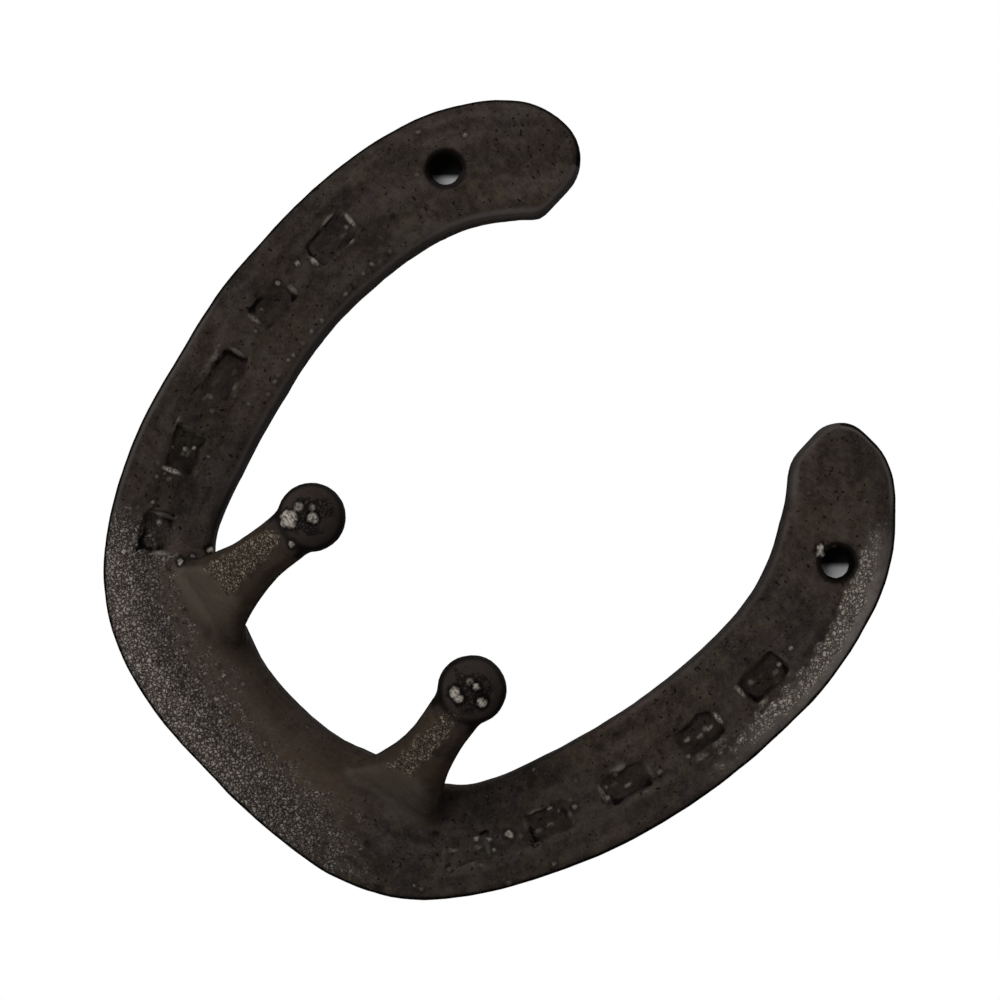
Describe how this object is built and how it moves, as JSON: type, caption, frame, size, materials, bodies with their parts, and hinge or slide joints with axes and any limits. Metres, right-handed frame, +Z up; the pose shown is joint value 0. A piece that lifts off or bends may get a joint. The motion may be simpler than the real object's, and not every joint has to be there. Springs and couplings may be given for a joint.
{
  "type": "horseshoe wall hook",
  "caption": "Cast-iron horseshoe hung with its opening up, with ball-ended hooks rising from the toe, sunken nail pockets along the branches and countersunk screw holes in the heels.",
  "frame": {"origin": "on the wall plane, midway between the two screw holes", "axes": "+Z up, along the shoe from toe to opening; -Y out of the wall, towards the viewer; +X to the right as seen from the front"},
  "size_m": [0.1252, 0.0357, 0.1235],
  "materials": {
    "cast_iron": "as-cast brown-black patina, satin, with worn brown edges"
  },
  "bodies": {
    "root": {"horseshoe_hook": "cast_iron"}
  },
  "joints": []
}
